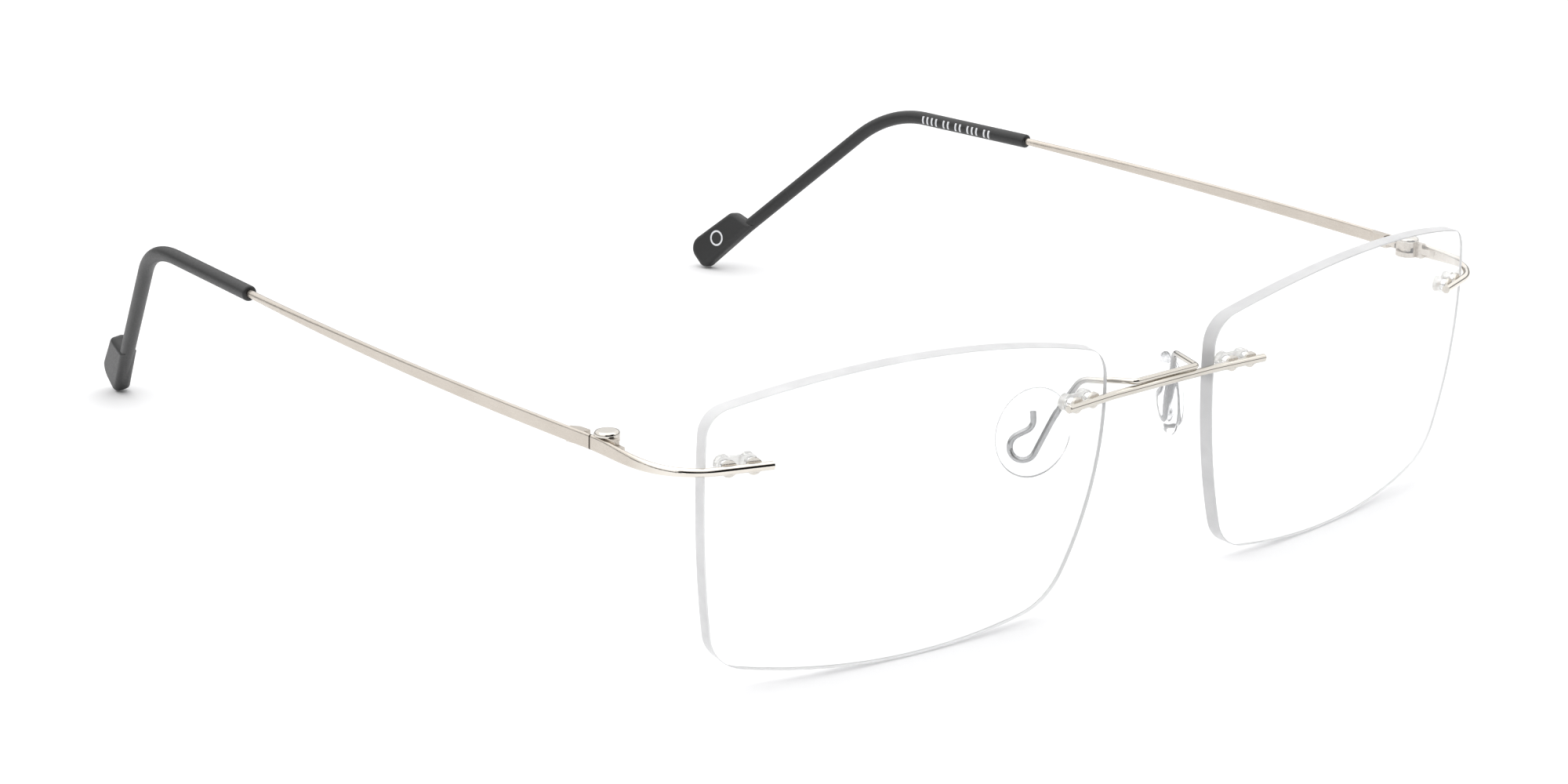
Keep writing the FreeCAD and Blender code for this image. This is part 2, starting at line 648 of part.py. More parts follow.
def make_tip(name):
    """A moulded tip over the wire, ending in a flat paddle."""
    path = route([TIP_START, TIP_BEND, TIP_END], [size("tip_bend_radius")])
    tube = rod("tip_tube", path, "sizes.tip_diameter")
    mouth = rounded_ends("tip_tube_mouth", tube, [TIP_START], 0.35)
    ahead = (TIP_END - TIP_BEND).normalize()
    side = Vector(1, 0, 0).cross(ahead).normalize()
    paddle = new_body("paddle", Placement(TIP_END, Rotation(ahead, side, ahead.cross(side), "XYZ")))
    outline = new_sketch(paddle, "paddle_outline")
    draw_polygon(outline, ((-10.6, -0.75), (1.06, -1.14), (1.73, 3.77), (-8.4, 3.3)))
    pad(paddle, outline, "sizes.paddle_thickness", midplane=True)
    for x, y, radius in ((1.06, -1.14, "1.2 mm"), (1.73, 3.77, "2.0 mm"), (-8.4, 3.3, "1.5 mm")):
        round_edges(paddle, [edge_near(paddle.Shape, paddle.Placement.multVec(Vector(x, y, 0)))], radius)
    flats = []
    for number, edge in enumerate(paddle.Shape.Edges, start=1):
        middle = paddle.Placement.inverse().multVec(edge.CenterOfMass)
        if abs(abs(middle.z) - size("paddle_thickness") / 2) < 0.01:
            flats.append("Edge%d" % number)
    round_edges(paddle, flats, "0.7 mm")
    whole = fused("tip_whole", mouth, paddle)
    core_end = TIP_END + (TIP_BEND - TIP_END).normalize() * 11.5
    bore_start = TIP_START - (TIP_BEND - TIP_START).normalize()
    bore_path = route([bore_start, TIP_BEND, core_end], [size("tip_bend_radius")])
    bore = rod("tip_bore", bore_path, "sizes.temple_wire_diameter + 2 * sizes.tip_bore_clearance")
    return cut(name, whole, bore)


# -------------------------------------------------------------------- hinges
def make_front_leaf(name, lean_sign):
    """A forked leaf brazed inside the end piece: two knuckles with a slot between them."""
    body = new_body(name, hinge_place(lean_sign))
    inset = size("strip_inset")
    outer = inset + 0.03
    fork = new_sketch(body, "front_fork")
    draw_polygon(fork, ((0.1, -2.2), (outer, -2.2), (outer, 0.0), (0.1, 0.0)))
    pad(body, fork, "sizes.hinge_height", midplane=True)
    plate = new_sketch(body, "front_leaf_plate")
    draw_polygon(plate, ((0.25, -3.3), (outer, -3.6), (outer, -2.1), (0.1, -2.1)))
    pad(body, plate, "sizes.leaf_plate_height", midplane=True)
    knuckles = new_sketch(body, "front_knuckles")
    draw_circle(knuckles, 0, "2 * sizes.knuckle_radius")
    pad(body, knuckles, "sizes.hinge_height", midplane=True)
    face = new_sketch(body, "braze_face")
    draw_polygon(face, ((outer, -2.5), (3.0, -2.5), (3.0, 2.5), (outer, 2.5)))
    pocket(body, face, "sizes.hinge_height + 1", midplane=True)
    slot = new_sketch(body, "tongue_slot")
    draw_polygon(slot, ((-3.0, -1.3), (3.0, -1.3), (3.0, 2.5), (-3.0, 2.5)))
    pocket(body, slot, "sizes.tongue_thickness + 2 * sizes.tongue_play", midplane=True)
    hole = new_sketch(body, "front_screw_hole")
    draw_circle(hole, 0, "sizes.screw_diameter + 2 * sizes.bore_clearance")
    pocket(body, hole, "sizes.hinge_height + 1", midplane=True)
    return body


def make_temple_leaf(name, lean_sign):
    """The temple's leaf: a block brazed inside the strip and a tongue round the screw."""
    body = new_body(name, hinge_place(lean_sign))
    inset = size("strip_inset")
    seam = size("seam_offset") + size("seam_gap")
    block = new_sketch(body, "temple_leaf_plan")
    outer = inset + 0.03
    inner = -0.2
    start = seam + 1.6
    draw_polygon(block, ((inner, start), (outer + 0.11, start), (outer + 0.28, start + 2.7),
                         (0.4, start + 2.7), (inner, start + 1.7)))
    pad(body, block, "sizes.leaf_height", midplane=True)
    neck = new_sketch(body, "tongue_neck")
    draw_polygon(neck, ((-0.5, 0.0), (0.5, 0.0), (0.5, start + 0.5), (-0.2, start + 0.5), (-0.5, seam)))
    pad(body, neck, "sizes.tongue_thickness", midplane=True)
    disc = new_sketch(body, "tongue_disc")
    draw_circle(disc, 0, "2 * sizes.tongue_radius")
    pad(body, disc, "sizes.tongue_thickness", midplane=True)
    hole = new_sketch(body, "tongue_hole")
    draw_circle(hole, 0, "sizes.screw_diameter + 2 * sizes.screw_clearance")
    pocket(body, hole, "sizes.tongue_thickness + 1", midplane=True)
    return body


def make_screw(name, lean_sign):
    """A hinge screw: a rounded head on the upper knuckle and a slotted foot under the lower one."""
    seat = size("hinge_height") / 2 + 0.01
    head = primitive("Cylinder", name + "_disc", hinge_place(lean_sign, seat),
                     Radius="sizes.screw_head_diameter / 2", Height="sizes.screw_head_height")
    top = hinge_place(lean_sign, seat + size("screw_head_height")).Base
    rounded = rounded_ends(name + "_head", head, [top], size("screw_head_round"))
    foot = -size("hinge_height") / 2 - 0.05
    shank = primitive("Cylinder", name + "_shank", hinge_place(lean_sign, foot),
                      Radius="sizes.screw_diameter / 2", Height="sizes.hinge_height + 0.1")
    corner = Vector(-size("screw_diameter"), -size("screw_slot_width") / 2, foot)
    slot = primitive("Box", name + "_slot", hinge_place(lean_sign).multiply(Placement(corner, Rotation())),
                     Length="2 * sizes.screw_diameter", Width="sizes.screw_slot_width",
                     Height="sizes.screw_slot_depth")
    return cut(name, fused(name + "_whole", rounded, shank), slot)


# ------------------------------------------------------------------ assembly
def build():
    """Every sub-part by its node name."""
    nodes = {}

    def keep(name, feature):
        feature.Label = name
        nodes[name] = feature

    def keep_pair(name, left):
        keep(name + "_left", left)
        keep(name + "_right", mirror_image(left, name + "_right"))

    keep_pair("lens", make_lens("lens_left"))
    keep_pair("bridge_pins", make_pins("bridge_pins_left", MOUNT_IN, "bar_stand_off", "bar_diameter"))
    keep_pair("end_pins", make_pins("end_pins_left", MOUNT_OUT, "end_wire_stand_off", "end_wire_diameter"))
    keep_pair("bridge_sleeve", make_sleeve("bridge_sleeve_left", MOUNT_IN))
    keep_pair("end_sleeve", make_sleeve("end_sleeve_left", MOUNT_OUT))
    bar, summit = make_bridge_bar("bridge_bar")
    keep("bridge_bar", bar)
    keep("pad_arms", make_pad_arms("pad_arms", summit))
    keep_pair("nose_pad", make_nose_pad("nose_pad_left"))
    keep_pair("end_piece", make_end_piece("end_piece_left"))
    keep_pair("temple", make_temple("temple_left"))
    keep_pair("temple_tip", make_tip("temple_tip_left"))
    for kind, maker in (("front_hinge_leaf", make_front_leaf), ("temple_hinge_leaf", make_temple_leaf),
                        ("hinge_screw", make_screw)):
        keep(kind + "_left", maker(kind + "_left", 1))
        keep(kind + "_right", mirror_image(maker(kind + "_right_source", -1), kind + "_right"))
    doc.recompute()
    return nodes


def check(nodes):
    """Stop if any object failed or any sub-part has no valid shape."""
    for feature in doc.Objects:
        if "Invalid" in feature.State or "Error" in feature.State:
            raise RuntimeError("%s is %s" % (feature.Name, feature.State))
    for name, feature in nodes.items():
        shape = feature.Shape
        if shape.isNull() or not shape.isValid() or not shape.Solids:
            raise RuntimeError(name + " has no valid solid")


def report_sizes(nodes):
    """Print the whole box, and the volume and height range of each sub-part."""
    whole = Part.makeCompound([feature.Shape for feature in nodes.values()]).optimalBoundingBox(False, False)
    print("box x %.2f %.2f  y %.2f %.2f  z %.2f %.2f" % (whole.XMin, whole.XMax, whole.YMin, whole.YMax,
                                                        whole.ZMin, whole.ZMax))
    for name, feature in nodes.items():
        shape = feature.Shape
        box = shape.optimalBoundingBox(False, False)
        print("%-24s solids %d  volume %9.3f  z %6.2f %6.2f" % (name, len(shape.Solids), shape.Volume,
                                                               box.ZMin, box.ZMax))


parts = build()
check(parts)
report_sizes(parts)
for node, part in parts.items():
    part.Shape.exportStep("parts/%s.step" % node)
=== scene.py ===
"""Rimless eyeglasses on a pale floor, in metres, in the frame of the CAD model."""
import math

import bmesh
import bpy
import numpy
from mathutils import Matrix, Vector


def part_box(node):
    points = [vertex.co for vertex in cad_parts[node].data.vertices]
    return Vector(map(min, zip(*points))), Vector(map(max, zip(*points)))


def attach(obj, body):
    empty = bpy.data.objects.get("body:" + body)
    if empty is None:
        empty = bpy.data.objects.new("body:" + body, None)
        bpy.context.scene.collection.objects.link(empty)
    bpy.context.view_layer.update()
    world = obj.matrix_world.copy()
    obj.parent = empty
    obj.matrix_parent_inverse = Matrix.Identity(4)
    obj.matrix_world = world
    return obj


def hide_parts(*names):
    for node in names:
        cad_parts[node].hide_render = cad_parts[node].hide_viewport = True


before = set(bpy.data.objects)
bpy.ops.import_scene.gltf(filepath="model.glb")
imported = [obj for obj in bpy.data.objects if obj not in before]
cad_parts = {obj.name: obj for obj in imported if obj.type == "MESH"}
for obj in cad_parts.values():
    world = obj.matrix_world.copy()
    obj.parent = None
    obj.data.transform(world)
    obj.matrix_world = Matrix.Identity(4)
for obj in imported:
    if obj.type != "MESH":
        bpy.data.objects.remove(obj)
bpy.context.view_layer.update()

MM = 0.001
SIDES = (("left", 1), ("right", -1))

# Places along the depth in millimetres; all but the first count from the lens centres.
LENS_Y = -71.26
SEAM_Y = 19.45                       # the joint between an end piece and its temple
FLATTENING_Y = (8.0, 13.0)           # where the end wire turns into the satin strip
PAD_SHADE_Y = (2.5, 5.5)           # where painted shade turns the pad arms grey inside the pads

# Colours that the noise of a material wanders between.
SATIN_PLATING = ((0.57, 0.52, 0.46), (0.62, 0.57, 0.51))
WIRE_PLATING = ((0.60, 0.565, 0.51), (0.67, 0.635, 0.58))
BRIGHT_PLATING = ((0.74, 0.69, 0.62), (0.80, 0.76, 0.70))
PIN_METAL = ((0.56, 0.53, 0.49), (0.70, 0.67, 0.62))
# painted shade: the grey of the pad arms where they sit in the silicone pads
PAD_SHADE_GREY = ((0.34, 0.34, 0.34), (0.44, 0.44, 0.44))
GROUND_RIM = ((0.76, 0.76, 0.765), (0.84, 0.84, 0.845))
BLACK_PLASTIC = ((0.012, 0.0122, 0.0122), (0.019, 0.0192, 0.0196))
WHITE_INK = ((0.62, 0.63, 0.66), (0.86, 0.87, 0.89))
FLOOR = ((0.90, 0.90, 0.905), (0.93, 0.93, 0.935))
SEAM = (0.10, 0.085, 0.07)


def at(x, y, z, side=1):
    """A point given in millimetres on the left half, with y counted from the lens centres."""
    return Vector((side * x, LENS_Y + y, z)) * MM


# --------------------------------------------------------------------- camera
def add_camera():
    """The camera in front of the wearer's right lens, a little above it."""
    yaw = math.radians(-40.94)
    pitch = math.radians(17.24)
    roll = math.radians(0.68)
    sensor = 36.0
    focal = 4411 / 2000              # focal length as a share of the picture's width
    aim = (0.245265, 0.025305)       # the target's place from the picture's centre, in the same unit
    distance = 0.3905
    target = Vector((0.0, -0.073277, 0.020))
    back = Vector((math.sin(yaw) * math.cos(pitch), -math.cos(yaw) * math.cos(pitch), math.sin(pitch)))
    level = Vector((math.cos(yaw), math.sin(yaw), 0.0))
    rise = back.cross(level)
    right = level * math.cos(roll) + rise * math.sin(roll)
    up = rise * math.cos(roll) - level * math.sin(roll)
    place = target - right * (aim[0] * distance / focal) + up * (aim[1] * distance / focal) + back * distance
    data = bpy.data.cameras.new("camera")
    data.sensor_width = sensor
    data.lens = focal * sensor
    data.clip_start = 0.01
    data.clip_end = 50.0
    camera = bpy.data.objects.new("camera", data)
    turn = Matrix((right, up, back)).transposed().to_4x4()
    camera.matrix_world = Matrix.Translation(place) @ turn
    bpy.context.collection.objects.link(camera)
    bpy.context.scene.camera = camera


# ------------------------------------------------------------------ materials
class Nodes:
    """A node tree being built."""

    def __init__(self, tree):
        self.tree = tree
        tree.nodes.clear()

    def node(self, kind, **settings):
        made = self.tree.nodes.new(kind)
        for key, value in settings.items():
            setattr(made, key, value)
        return made

    def link(self, source, target):
        self.tree.links.new(source, target)

    def feed(self, value, socket):
        """A socket gets a number, a colour or another node's output."""
        if isinstance(value, bpy.types.NodeSocket):
            self.link(value, socket)
        elif isinstance(value, tuple):
            socket.default_value = (*value, 1.0)
        else:
            socket.default_value = value

    def math(self, operation, first, second=0.0):
        """One sum on two numbers or sockets."""
        node = self.node("ShaderNodeMath", operation=operation)
        self.feed(first, node.inputs[0])
        self.feed(second, node.inputs[1])
        return node.outputs[0]

    def span(self, source, low, high, start=0.3, end=0.7, smooth=False):
        """A number that goes from low to high as the source goes from start to end."""
        node = self.node("ShaderNodeMapRange", interpolation_type="SMOOTHSTEP" if smooth else "LINEAR")
        for key, value in (("From Min", start), ("From Max", end), ("To Min", low), ("To Max", high)):
            node.inputs[key].default_value = value
        self.link(source, node.inputs["Value"])
        return node.outputs["Result"]

    def choose(self, factor, first, second):
        """A mix of two numbers or sockets."""
        node = self.node("ShaderNodeMix", data_type="FLOAT")
        self.link(factor, node.inputs["Factor"])
        self.feed(first, node.inputs[2])
        self.feed(second, node.inputs[3])
        return node.outputs[0]

    def split(self, vector):
        """The x, y and z of a vector."""
        node = self.node("ShaderNodeSeparateXYZ")
        self.link(vector, node.inputs[0])
        return node.outputs[0], node.outputs[1], node.outputs[2]


class Paint(Nodes):
    """A node material being built."""

    def __init__(self, name):
        self.material = bpy.data.materials.new(name)
        self.material.use_nodes = True
        super().__init__(self.material.node_tree)
        self.output = self.node("ShaderNodeOutputMaterial")
        self.coords = self.node("ShaderNodeTexCoord").outputs["Object"]

    def principled(self, **values):
        """A Principled node; a value is a number, a colour or a socket."""
        shader = self.node("ShaderNodeBsdfPrincipled")
        for key, value in values.items():
            self.feed(value, shader.inputs[key.replace("_", " ")])
        return shader

    def noise(self, scale, stretch=(1.0, 1.0, 1.0), detail=3.0):
        """Noise whose grain is 1/scale metres, finer where stretch is larger."""
        mapping = self.node("ShaderNodeMapping")
        mapping.inputs["Scale"].default_value = stretch
        self.link(self.coords, mapping.inputs["Vector"])
        texture = self.node("ShaderNodeTexNoise")
        texture.inputs["Scale"].default_value = scale
        texture.inputs["Detail"].default_value = detail
        self.link(mapping.outputs["Vector"], texture.inputs["Vector"])
        return texture.outputs["Fac"]

    def blend(self, factor, first, second):
        """A mix of two colours, each a colour or a socket."""
        node = self.node("ShaderNodeMix", data_type="RGBA")
        self.link(factor, node.inputs["Factor"])
        self.feed(first, node.inputs[6])
        self.feed(second, node.inputs[7])
        return node.outputs[2]

    def tint(self, noise, colours):
        """A colour that wanders between two with the noise."""
        return self.blend(self.span(noise, 0.0, 1.0), *colours)

    def along_depth(self, reach):
        """0 in front of the first of two depths, 1 behind the second."""
        front, behind = reach
        depth = self.split(self.coords)[1]
        return self.span(depth, 0.0, 1.0, (LENS_Y + front) * MM, (LENS_Y + behind) * MM)

    def bump(self, source, shader, height):
        """Bump of that height in metres."""
        node = self.node("ShaderNodeBump")
        node.inputs["Strength"].default_value = 1.0
        node.inputs["Distance"].default_value = height
        self.link(source, node.inputs["Height"])
        self.link(node.outputs["Normal"], shader.inputs["Normal"])

    def finish(self, shader):
        self.link(shader.outputs[0], self.output.inputs["Surface"])
        return self.material

    def finish_clear(self, shader, share=1.0):
        """The same, with that share of the light shining through it."""
        path = self.node("ShaderNodeLightPath")
        through = self.node("ShaderNodeBsdfTransparent")
        mix = self.node("ShaderNodeMixShader")
        self.link(self.math("MULTIPLY", path.outputs["Is Shadow Ray"], share), mix.inputs[0])
        self.link(shader.outputs[0], mix.inputs[1])
        self.link(through.outputs[0], mix.inputs[2])
        return self.finish(mix)


def shade_seam(paint, colour):
    """The colour, darker in the narrow joint between an end piece and its temple."""
    depth = paint.split(paint.coords)[1]
    off = paint.math("ABSOLUTE", paint.math("SUBTRACT", depth, (LENS_Y + SEAM_Y) * MM))
    near = paint.span(off, 1.0, 0.0, 0.07 * MM, 0.17 * MM, smooth=True)
    return paint.blend(near, colour, SEAM)


def satin_metal(name):
    """Champagne plating, brushed along the temples."""
    paint = Paint(name)
    grain = paint.noise(24000.0, (1.0, 0.02, 1.0))
    colour = shade_seam(paint, paint.tint(paint.noise(160.0), SATIN_PLATING))
    shader = paint.principled(Base_Color=colour, Metallic=1.0, Roughness=paint.span(grain, 0.24, 0.36))
    paint.bump(grain, shader, 1.2e-6)
    return paint.finish(shader)


def polished_metal(name):
    """The same plating on drawn and polished wire."""
    paint = Paint(name)
    grain = paint.noise(9000.0, (0.05, 1.0, 1.0))
    colour = paint.tint(paint.noise(220.0), WIRE_PLATING)
    shader = paint.principled(Base_Color=colour, Metallic=1.0, Roughness=paint.span(grain, 0.07, 0.14))
    paint.bump(grain, shader, 0.6e-6)
    return paint.finish(shader)


def end_metal(name):
    """Polished round wire in front that turns satin where it flattens into the strip."""
    paint = Paint(name)
    share = paint.along_depth(FLATTENING_Y)
    grain = paint.noise(24000.0, (1.0, 0.02, 1.0))
    cloud = paint.noise(160.0)
    colour = paint.blend(share, paint.tint(cloud, BRIGHT_PLATING), paint.tint(cloud, SATIN_PLATING))
    rough = paint.choose(share, paint.span(grain, 0.06, 0.10), paint.span(grain, 0.22, 0.34))
    shader = paint.principled(Base_Color=shade_seam(paint, colour), Metallic=1.0, Roughness=rough)
    paint.bump(grain, shader, 0.8e-6)
    return paint.finish(shader)


def arm_metal(name):
    """Drawn wire with the plating in front, and a painted shade of grey where it enters the pads, for the
    wire dimmed by the silicone.
    """
    paint = Paint(name)
    grain = paint.noise(9000.0)
    share = paint.along_depth(PAD_SHADE_Y)
    # painted shade: the arms turn grey towards the pads, where the silicone covers them
    colour = paint.blend(share, paint.tint(grain, WIRE_PLATING), paint.tint(grain, PAD_SHADE_GREY))
    shader = paint.principled(Base_Color=colour, Metallic=1.0, Roughness=paint.span(grain, 0.08, 0.16))
    paint.bump(grain, shader, 0.6e-6)
    return paint.finish(shader)


def pin_metal(name):
    """Plain drawn wire of the pins, a little duller."""
    paint = Paint(name)
    grain = paint.noise(9000.0)
    shader = paint.principled(Base_Color=paint.tint(grain, PIN_METAL), Metallic=1.0,
                              Roughness=paint.span(grain, 0.18, 0.30))
    return paint.finish(shader)


def clear_plastic(name, colour, ior, roughness, grain_scale, clarity=1.0):
    """A clear moulding with slightly uneven polish."""
    paint = Paint(name)
    shader = paint.principled(Base_Color=colour, Transmission_Weight=clarity, IOR=ior,
                              Roughness=paint.span(paint.noise(grain_scale), *roughness))
    return paint.finish_clear(shader)


def ground_edge(name):
    """The finely ground rim of a lens: matt and whitish, with painted shade darkening it next to the wires
    that cross it.
    """
    shaded_crossings = ((at(9.6, 0.4, 25.8), 0.45), (at(61.0, 3.0, 26.1), 0.62))   # the place and the grey of the painted shade there
    shade_reach = (0.7 * MM, 2.9 * MM)
    light_through = 0.6
    paint = Paint(name)
    marks = paint.noise(7000.0, (1.0, 1.0, 0.15))
    tone = paint.tint(paint.noise(350.0), GROUND_RIM)
    across, depth, height = paint.split(paint.coords)
    mirrored = paint.node("ShaderNodeCombineXYZ")
    paint.link(paint.math("ABSOLUTE", across), mirrored.inputs["X"])
    paint.link(depth, mirrored.inputs["Y"])
    paint.link(height, mirrored.inputs["Z"])
    for place, shade_grey in shaded_crossings:
        gap = paint.node("ShaderNodeVectorMath", operation="DISTANCE")
        paint.link(mirrored.outputs[0], gap.inputs[0])
        gap.inputs[1].default_value = place
        near = paint.span(gap.outputs["Value"], 1.0, 0.0, *shade_reach, smooth=True)
        # painted shade: the rim darkens to that grey close to each wire crossing
        tone = paint.blend(near, tone, (shade_grey, shade_grey, shade_grey * 1.01))
    shader = paint.principled(Base_Color=tone, Roughness=paint.span(marks, 0.42, 0.6), IOR=1.5,
                              Transmission_Weight=0.3)
    paint.bump(marks, shader, 2.0e-6)
    return paint.finish_clear(shader, light_through)


def tip_plastic(name):
    """Satin black moulded plastic with a fine grain."""
    paint = Paint(name)
    grain = paint.noise(5200.0, detail=4.0)
    colour = paint.tint(paint.noise(120.0), BLACK_PLASTIC)
    shader = paint.principled(Base_Color=colour, Roughness=paint.span(grain, 0.36, 0.50), IOR=1.5)
    paint.bump(grain, shader, 3.0e-6)
    return paint.finish(shader)


def print_white(name):
    """Pad-printed white ink, thin enough to be a little uneven."""
    paint = Paint(name)
    colour = paint.tint(paint.noise(9000.0), WHITE_INK)
    return paint.finish(paint.principled(Base_Color=colour, Roughness=0.55))


def pale_floor(name):
    paint = Paint(name)
    colour = paint.tint(paint.noise(3.0), FLOOR)
    return paint.finish(paint.principled(Base_Color=colour, Roughness=0.9, Specular_IOR_Level=0.1))


# --------------------------------------------------------------------- meshes
def add_object(name, mesh, materials, body):
    piece = bpy.data.objects.new(name, mesh)
    bpy.context.collection.objects.link(piece)
    for material in materials:
        mesh.materials.append(material)
    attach(piece, body)
    return piece


def mesh_from(net, name):
    """The finished mesh of a bmesh, which is freed."""
    mesh = bpy.data.meshes.new(name)
    net.to_mesh(mesh)
    net.free()
    return mesh


def paint_node(name, material):
    """A CAD node's own object gets a finished material."""
    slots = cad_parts[name].material_slots
    if not slots:
        raise RuntimeError(name + " has no material slot")
    for slot in slots:
        slot.material = material


def lens_axis(side):
    """The direction that a lens faces."""
    wrap = math.radians(7.0)
    tilt = math.radians(5.0)
    out = Vector((math.cos(wrap), math.sin(wrap), 0.0))
    up = Vector((math.sin(wrap) * math.sin(tilt), -math.cos(wrap) * math.sin(tilt), math.cos(tilt)))
    front = out.cross(up)
    return Vector((side * front.x, front.y, front.z))


def middle(node):
    low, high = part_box(node)
    return (Vector(low) + Vector(high)) / 2


def polish_normals(mesh, axis):
    """The two polished faces of a lens get the exact normals of the spheres that they lie on."""
    face_on = 0.75                   # cosine to the axis above which a face is a polished one
    normals = [corner.vector.copy() for corner in mesh.corner_normals]
    for way in (1, -1):
        faces = [f for f in mesh.polygons if f.material_index == 0 and way * f.normal.dot(axis) > face_on]
        places = numpy.array([mesh.vertices[v].co for v in sorted({v for f in faces for v in f.vertices})])
        fit = numpy.column_stack((2 * places, numpy.ones(len(places))))
        centre = Vector(numpy.linalg.lstsq(fit, (places ** 2).sum(axis=1), rcond=None)[0][:3])
        for face in faces:
            for corner in face.loop_indices:
                place = mesh.vertices[mesh.loops[corner].vertex_index].co
                normals[corner] = (place - centre).normalized() * way
    mesh.normals_split_custom_set(normals)


def make_lens(word, side, glass, edge):
    """A lens with a ground rim and a narrow safety bevel."""
    edge_on = 0.55                   # cosine to the axis below which a face belongs to the rim or a hole
    hole_reach = 2.45 * MM           # a pair of holes lies within this of the middle of its pins
    bevel = 0.10 * MM
    weld = 1e-6
    sharp = math.radians(30.0)
    net = bmesh.new()
    net.from_mesh(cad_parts["lens_" + word].data)
    bmesh.ops.remove_doubles(net, verts=net.verts, dist=weld)
    axis = lens_axis(side)
    mounts = [middle("bridge_pins_" + word), middle("end_pins_" + word)]
    edges = set()
    for face in net.faces:
        face.normal_update()
        offsets = [face.calc_center_median() - mount for mount in mounts]
        hole = any((offset - axis * offset.dot(axis)).length < hole_reach for offset in offsets)
        face.material_index = 1 if abs(face.normal.dot(axis)) < edge_on and not hole else 0
    for face in net.faces:
        if face.material_index == 1:
            edges.update(line for line in face.edges if any(f.material_index == 0 for f in line.link_faces))
    bmesh.ops.bevel(net, geom=list(edges), offset=bevel, segments=1, affect="EDGES", material=1,
                    offset_type="OFFSET", clamp_overlap=True)
    mesh = mesh_from(net, "lens_body_" + word)
    mesh.shade_smooth()
    mesh.set_sharp_from_angle(angle=sharp)
    polish_normals(mesh, axis)
    piece = add_object("lens_body_" + word, mesh, [glass, edge], "front")
    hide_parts("lens_" + word)


def pad_place(side):
    """The frame of a nose pad: x down along it, y across, z away from the nose."""
    turn_in = math.radians(33.0)
    down = Vector((3.1, 2.45, -10.7)).normalized()
    face = Vector((math.cos(turn_in), -math.sin(turn_in), 0.0))
    face = (face - down * face.dot(down)).normalized()
    across = face.cross(down)
    turn = Matrix((down, across, face)).transposed().to_4x4()
    flip = Matrix.Diagonal((side, 1.0, 1.0, 1.0))
    return flip @ Matrix.Translation(at(11.5, 8.8, 19.7)) @ turn


def make_pad(word, side, silicone):
    """A soft nose pad: crowned towards the nose, with a thin lip and a boss round the wire hook."""
    half_length = 10.8 * MM / 2
    half_width = 8.1 * MM / 2
    steps = 72
    # The profile from the nose side to the boss: the share of the full oval, and the height in millimetres.
    rows = ((0.0, -1.32), (0.25, -1.28), (0.45, -1.20), (0.62, -1.08), (0.78, -0.90), (0.90, -0.68),
            (0.965, -0.45), (0.995, -0.18), (1.0, 0.05), (0.985, 0.24), (0.955, 0.38), (0.915, 0.46),
            (0.875, 0.52), (0.835, 0.68), (0.80, 0.92), (0.765, 1.12), (0.71, 1.23), (0.60, 1.27),
            (0.35, 1.30), (0.0, 1.31))
    net = bmesh.new()
    rings = []
    for share, height in rows:
        turns = [2 * math.pi * step / steps for step in range(steps)] if share else [0.0]
        along, across = half_length * share, half_width * share
        rings.append([net.verts.new((along * math.cos(turn), across * math.sin(turn), height * MM))
                      for turn in turns])
    for lower, upper in zip(rings, rings[1:]):
        for step in range(steps):
            after = (step + 1) % steps
            if len(lower) == 1:
                net.faces.new((lower[0], upper[after], upper[step]))
            elif len(upper) == 1:
                net.faces.new((lower[step], lower[after], upper[0]))
            else:
                net.faces.new((lower[step], lower[after], upper[after], upper[step]))
    bmesh.ops.transform(net, matrix=pad_place(side), verts=net.verts)
    bmesh.ops.recalc_face_normals(net, faces=net.faces)
    mesh = mesh_from(net, "pad_" + word)
    mesh.shade_smooth()
    piece = add_object("pad_" + word, mesh, [silicone], "front")
    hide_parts("nose_pad_" + word)


# -------------------------------------------------------------- printed marks
TIP_START = (64.8, 86.8, 27.95)      # the line of the left tip, as at() takes it
TIP_BEND = (62.5, 113.2, 28.05)
TIP_END = (51.5, 141.9, 1.22)


def strip_mesh(name, pairs, closed=False):
    """A thin solid band; each step along it gives two places across, each an outer and an inner point."""
    net = bmesh.new()
    rows = [[net.verts.new(point) for point in (*first, *second)] for first, second in pairs]
    for row, after in zip(rows, rows[1:] + rows[:1] if closed else rows[1:]):
        for a, b in ((0, 1), (1, 3), (3, 2), (2, 0)):
            net.faces.new((row[a], row[b], after[b], after[a]))
    if not closed:
        for row in (rows[0], rows[-1]):
            net.faces.new((row[0], row[1], row[3], row[2]))
    bmesh.ops.recalc_face_normals(net, faces=net.faces)
    return mesh_from(net, name)


def make_size_marks(word, side, ink):
    """A row of plain upright dashes printed on the inner side of a tip."""
    groups = (2, 3, 2, 2, 4)
    pitch = 0.84 * MM
    group_gap = 0.63 * MM
    stroke = 0.32 * MM
    half_arc = math.radians(36.0)
    half_steps = 3
    radii = (0.968 * MM, 0.94 * MM)  # just outside and just inside the tip's surface
    start = at(*TIP_START, side)
    along = (at(*TIP_BEND, side) - start).normalized()
    inner = Vector((-side, 0.0, 0.0))
    inner = (inner - along * inner.dot(along)).normalized()
    up = inner.cross(along) if side < 0 else along.cross(inner)
    number = 0
    place = 6.4 * MM
    for group in groups:
        for _ in range(group):
            pairs = []
            for step in range(-half_steps, half_steps + 1):
                turn = half_arc * step / half_steps
                ray = inner * math.cos(turn) + up * math.sin(turn)
                feet = (start + along * place, start + along * (place + stroke))
                pairs.append([[foot + ray * radius for radius in radii] for foot in feet])
            number += 1
            name = "size_mark_%s_%02d" % (word, number)
            mesh = strip_mesh(name, pairs)
            mesh.shade_smooth()
            add_object(name, mesh, [ink], word + "_temple")
            place += pitch
        place += group_gap


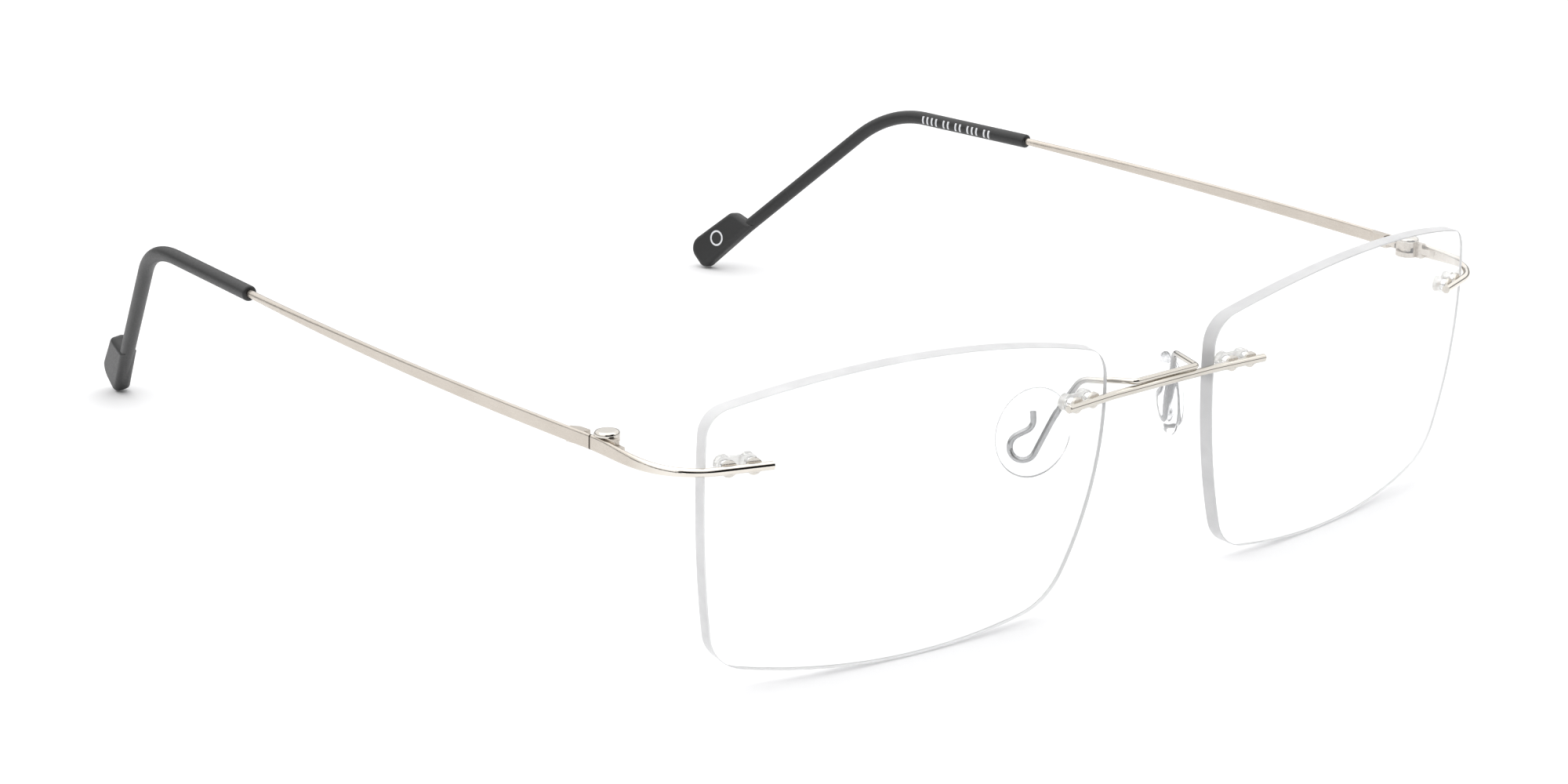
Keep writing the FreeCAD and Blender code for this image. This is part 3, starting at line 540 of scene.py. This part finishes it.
def make_ring_mark(word, side, ink):
    """A plain printed ring on the inner face of a tip's paddle."""
    radii = (0.92 * MM, 1.20 * MM)
    depths = (1.158 * MM, 1.13 * MM)     # just outside and just inside the paddle's face
    steps = 48
    end = at(*TIP_END)
    ahead = (end - at(*TIP_BEND)).normalized()
    across = Vector((1.0, 0.0, 0.0)).cross(ahead).normalized()
    outward = ahead.cross(across)
    centre = end - ahead * (3.9 * MM) + across * (1.35 * MM)
    pairs = []
    for step in range(steps):
        turn = 2 * math.pi * step / steps
        ray = ahead * math.cos(turn) + across * math.sin(turn)
        points = [[centre + ray * radius - outward * depth for depth in depths] for radius in radii]
        pairs.append([[Vector((side * p.x, p.y, p.z)) for p in pair] for pair in points])
    name = "ring_mark_" + word
    add_object(name, strip_mesh(name, pairs, closed=True), [ink], word + "_temple")


# ------------------------------------------------------------ floor and light
def add_floor():
    size = 6.0
    drop = 0.0001                    # keeps the floor clear of the tips that stand on it
    mesh = bpy.data.meshes.new("floor")
    mesh.from_pydata([(-size, -size, 0), (size, -size, 0), (size, size, 0), (-size, size, 0)], [],
                     [(0, 1, 2, 3)])
    mesh.materials.append(pale_floor("floor"))
    floor = bpy.data.objects.new("floor", mesh)
    floor.location.z = -drop
    bpy.context.collection.objects.link(floor)


def add_softbox():
    """One large square lamp overhead, turned to the origin."""
    data = bpy.data.lights.new("softbox", "AREA")
    data.shape = "RECTANGLE"
    data.size = data.size_y = 1.8
    data.energy = 7.0
    lamp = bpy.data.objects.new("softbox", data)
    lamp.location = (-0.1, -0.05, 1.0)
    lamp.rotation_euler = (-lamp.location).to_track_quat("-Z", "Y").to_euler()
    bpy.context.collection.objects.link(lamp)


def add_world():
    """Light walls with a dim belt along the horizon and a dark gap in front, for polished metal to mirror."""
    wall_light = 1.25
    gap_light = 0.01
    belt_share = 0.2
    gap_left = (-64.0, -50.0)        # headings in degrees from straight ahead, where the gap fades
    gap_right = (27.0, 39.0)
    gap_top = (0.80, 0.90)           # heights on the unit sphere
    belt_foot = (-0.12, -0.03)
    belt_top = (0.16, 0.30)
    world = bpy.data.worlds.new("studio")
    world.use_nodes = True
    bpy.context.scene.world = world
    nodes = Nodes(world.node_tree)
    across, depth, height = nodes.split(nodes.node("ShaderNodeTexCoord").outputs["Generated"])
    heading = nodes.math("ARCTAN2", across, nodes.math("MULTIPLY", depth, -1.0))
    gap = nodes.math("MULTIPLY",
                     nodes.span(heading, 0.0, 1.0, *map(math.radians, gap_left), smooth=True),
                     nodes.span(heading, 1.0, 0.0, *map(math.radians, gap_right), smooth=True))
    gap = nodes.math("MULTIPLY", gap, nodes.span(height, 1.0, 0.0, *gap_top, smooth=True))
    belt = nodes.math("MULTIPLY",
                      nodes.span(height, 0.0, 1.0, *belt_foot, smooth=True),
                      nodes.span(height, 1.0, 0.0, *belt_top, smooth=True))
    light = nodes.math("MULTIPLY",
                       nodes.span(gap, wall_light, gap_light, 0.0, 1.0),
                       nodes.span(belt, 1.0, belt_share, 0.0, 1.0))
    seen = nodes.choose(nodes.node("ShaderNodeLightPath").outputs["Is Camera Ray"], light, 1.0)
    background = nodes.node("ShaderNodeBackground")
    nodes.feed((1.0, 1.0, 1.0), background.inputs["Color"])
    nodes.link(seen, background.inputs["Strength"])
    nodes.link(background.outputs[0], nodes.node("ShaderNodeOutputWorld").inputs["Surface"])


# ------------------------------------------------------------------ the scene
add_camera()
add_floor()
add_world()
add_softbox()
bpy.context.scene.view_settings.view_transform = "Standard"

satin = satin_metal("satin_metal")
polished = polished_metal("polished_metal")
end_finish = end_metal("end_metal")
pin_finish = pin_metal("pin_metal")
sleeve_finish = clear_plastic("clear_sleeve", (0.94, 0.935, 0.92), 1.35, (0.10, 0.22), 1500.0, clarity=0.7)
silicone = clear_plastic("silicone", (0.975, 0.982, 0.995), 1.19, (0.07, 0.15), 900.0)
glass = clear_plastic("lens_glass", (0.985, 0.99, 0.992), 1.5, (0.0, 0.004), 200.0)
edge_finish = ground_edge("lens_edge")
black = tip_plastic("tip_plastic")
ink = print_white("print_white")

paint_node("bridge_bar", polished)
paint_node("pad_arms", arm_metal("arm_metal"))
for word, side in SIDES:
    make_lens(word, side, glass, edge_finish)
    make_pad(word, side, silicone)
    for node, material in (("bridge_pins", pin_finish), ("end_pins", pin_finish),
                           ("bridge_sleeve", sleeve_finish), ("end_sleeve", sleeve_finish),
                           ("end_piece", end_finish), ("front_hinge_leaf", satin), ("temple", satin),
                           ("temple_hinge_leaf", satin), ("temple_tip", black), ("hinge_screw", polished)):
        paint_node(node + "_" + word, material)
    make_size_marks(word, side, ink)
    make_ring_mark(word, side, ink)
